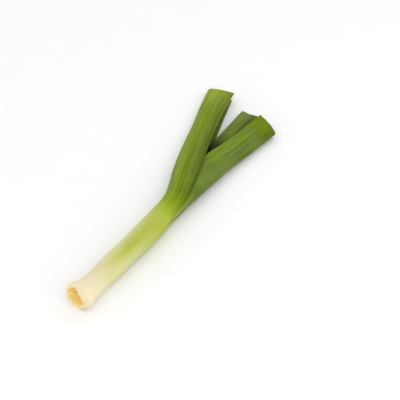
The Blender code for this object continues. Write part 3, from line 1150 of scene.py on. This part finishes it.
def model_stub(radius):
    """One trimmed root: a short stalk with a bevelled rim and a sunken core."""
    deselect_all()
    bpy.ops.mesh.primitive_cylinder_add(vertices=9, radius=radius, depth=radius * 1.6)
    obj = bpy.context.active_object
    obj.name = "root_stub"
    select_in_edit_mode(obj, "FACE", lambda face: face.normal.z > 0.9)
    bpy.ops.mesh.inset(thickness=radius * 0.3)
    bpy.ops.transform.translate(value=(0, 0, radius * 0.12))
    bpy.ops.mesh.inset(thickness=radius * 0.25)
    bpy.ops.transform.translate(value=(0, 0, -radius * 0.3))
    bpy.ops.object.mode_set(mode="OBJECT")
    bpy.ops.object.shade_smooth_by_angle(angle=STUB_SMOOTH_ANGLE)
    return obj


class LEEK_OT_root_stubs(bpy.types.Operator):
    """Models one trimmed root stub and copies it over the root plate"""

    bl_idname = "leek.root_stubs"
    bl_label = "Root stubs"

    def execute(self, context):
        sizes = context.scene.leek_sizes
        dice = random.Random(11)
        first = model_stub(sizes.stub_radius)
        first.data.materials.append(root_material("root_stub_fibre", "root_straw", "root_gold"))
        copies = []
        for k in range(sizes.stubs):
            share = math.sqrt((k + 0.5) / sizes.stubs)
            turn = k * math.pi * (3 - math.sqrt(5)) + dice.uniform(-0.2, 0.2)
            across, up = round_middle(STUB_FIELD_RADIUS * share, turn)
            if up * math.cos(GRAIN_TURN) - across * math.sin(GRAIN_TURN) > STUB_FIELD_TOP:
                continue
            x = PLATE_FACE_X - plate_relief(across, up, share * 0.9, sizes)
            copy = first.copy()
            copy.data = first.data.copy()
            context.collection.objects.link(copy)
            size = dice.uniform(0.6, 1.25)
            copy.scale = (size, size * dice.uniform(0.8, 1.2), size * dice.uniform(0.6, 1.1))
            lean = Vector((-1.0, dice.uniform(-0.3, 0.3), dice.uniform(-0.3, 0.3)))
            copy.rotation_euler = lean.to_track_quat("Z", "Y").to_euler()
            copy.location = on_plate(x, across, up)
            copies.append(copy)
        deselect_all()
        bpy.data.objects.remove(first)
        for copy in copies:
            copy.select_set(True)
        context.view_layer.objects.active = copies[0]
        bpy.ops.object.join()
        obj = named_piece("root_stubs")
        bpy.ops.object.transform_apply(location=True, rotation=True, scale=True)
        keep_piece(obj)
        return {"FINISHED"}


def hang(name, data, spot, back):
    """Puts a lamp or a camera in the scene, with its back to a direction."""
    obj = bpy.data.objects.new(name, data)
    obj.location = spot
    obj.rotation_euler = back.to_track_quat("Z", "Y").to_euler()
    bpy.context.scene.collection.objects.link(obj)
    return obj


class LEEK_OT_studio(bpy.types.Operator):
    """Lays the pale floor, hangs the soft lights and sets up the camera"""

    bl_idname = "leek.studio"
    bl_label = "Studio"

    def execute(self, context):
        scene, studio = context.scene, context.scene.leek_studio
        deselect_all()
        bpy.ops.mesh.primitive_plane_add(size=FLOOR_SIZE, location=(0.0, 0.0, FLOOR_Z))
        floor = bpy.context.active_object
        floor.name = "studio_floor"
        paper = Surface("studio_floor", 0.8, 0.1)
        shade = tuple(studio.floor)
        darker = tuple(0.985 * value for value in shade)
        paper.feed("Base Color", paper.mix(paper.noise(paper.solid, 30.0), shade, darker))
        floor.data.materials.append(paper.material)
        bpy.ops.object.transform_apply(location=True, rotation=True, scale=True)
        world = bpy.data.worlds.new("soft_surround")
        world.use_nodes = True
        world.node_tree.nodes["Background"].inputs["Color"].default_value = (*WHITE, 1.0)
        world.node_tree.nodes["Background"].inputs["Strength"].default_value = studio.sky_strength
        scene.world = world
        lamp = bpy.data.lights.new("key_light", "AREA")
        lamp.energy = studio.key_power
        lamp.shape = "DISK"
        lamp.size = KEY_SIZE
        hang("key_light", lamp, KEY_PLACE, KEY_PLACE)
        azimuth, elevation = studio.camera_azimuth, studio.camera_elevation
        flat = math.cos(elevation)
        back = Vector((math.sin(azimuth) * flat, -math.cos(azimuth) * flat, math.sin(elevation)))
        lens = bpy.data.cameras.new("camera")
        lens.lens = LENS
        lens.sensor_width = SENSOR_WIDTH
        scene.camera = hang("camera", lens, CAMERA_TARGET + back * studio.camera_distance, back)
        scene.view_settings.view_transform = "Standard"
        return {"FINISHED"}


PIECES = (
    LEEK_OT_outer_leaf,
    LEEK_OT_second_leaf,
    LEEK_OT_inner_leaf,
    LEEK_OT_root_plate,
    LEEK_OT_root_stubs,
    LEEK_OT_studio,
)


class LEEK_PT_panel(bpy.types.Panel):
    """Lists the leek's pieces, sizes and colours"""

    bl_idname = "LEEK_PT_panel"
    bl_label = "Leek"
    bl_space_type = "VIEW_3D"
    bl_region_type = "UI"
    bl_category = "Leek"

    def draw(self, context):
        layout, scene = self.layout, context.scene
        for piece in PIECES:
            layout.operator(piece.bl_idname)
        for title, group in (
            ("Sizes", scene.leek_sizes),
            ("Colours", scene.leek_colours),
            ("Studio", scene.leek_studio),
        ):
            box = layout.box()
            box.label(text=title)
            for name in group.__annotations__:
                box.prop(group, name)


CLASSES = (LeekSizes, LeekColours, StudioSettings, *PIECES, LEEK_PT_panel)


def register():
    for kind in CLASSES:
        bpy.utils.register_class(kind)
    bpy.types.Scene.leek_sizes = PointerProperty(type=LeekSizes)
    bpy.types.Scene.leek_colours = PointerProperty(type=LeekColours)
    bpy.types.Scene.leek_studio = PointerProperty(type=StudioSettings)


def unregister():
    for name in ("leek_sizes", "leek_colours", "leek_studio"):
        delattr(bpy.types.Scene, name)
    for kind in reversed(CLASSES):
        bpy.utils.unregister_class(kind)


def main():
    register()
    bpy.ops.leek.outer_leaf()
    bpy.ops.leek.second_leaf()
    bpy.ops.leek.inner_leaf()
    bpy.ops.leek.root_plate()
    bpy.ops.leek.root_stubs()
    bpy.ops.leek.studio()


if __name__ == "__main__":
    main()
